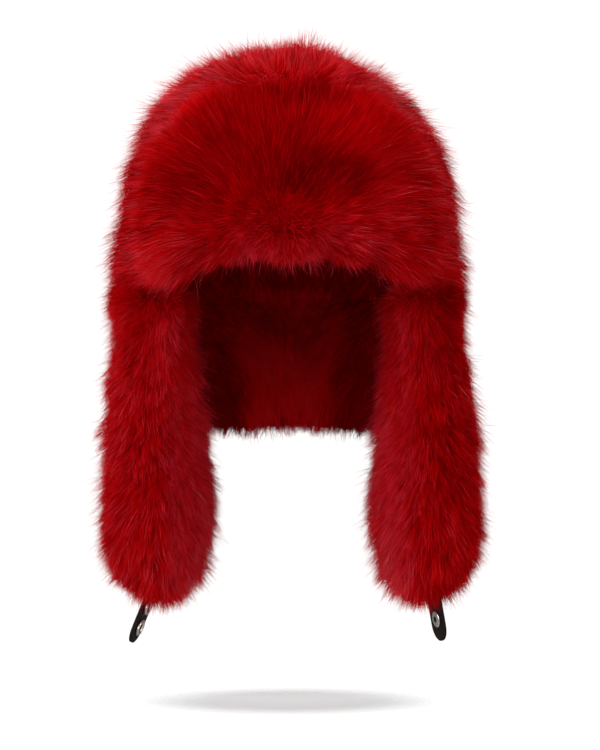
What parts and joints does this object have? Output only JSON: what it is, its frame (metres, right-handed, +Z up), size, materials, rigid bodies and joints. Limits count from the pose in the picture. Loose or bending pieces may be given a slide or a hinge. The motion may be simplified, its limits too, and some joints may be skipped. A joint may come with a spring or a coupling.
{
  "type": "aviator hat",
  "caption": "Deep-pile trapper hat with a turned-up brow flap, a nape curtain and hanging ear flaps that end in leather tabs with press studs.",
  "frame": {"origin": "the head seat: the inside of the crown at its highest point, where the top of the wearer's head touches it", "axes": "+Z up, the front of the hat towards -Y, +X to the right of someone who looks at the front"},
  "size_m": [0.3039, 0.3046, 0.4541],
  "materials": {
    "pile": "long glossy red pile",
    "lining": "dark red knitted backing",
    "leather": "black, fine grain",
    "snap_metal": "nickel plated, lightly brushed"
  },
  "bodies": {
    "root": {"crown_wall": "lining", "crown_fur": "pile", "brow_flap": "pile", "nape_wall": "lining", "nape_fur": "pile", "ear_flap_left": "pile", "ear_flap_right": "pile", "tab_left": "leather", "tab_right": "leather", "snap_left_upper": "snap_metal", "snap_left_lower": "snap_metal", "snap_right": "snap_metal"}
  },
  "joints": []
}
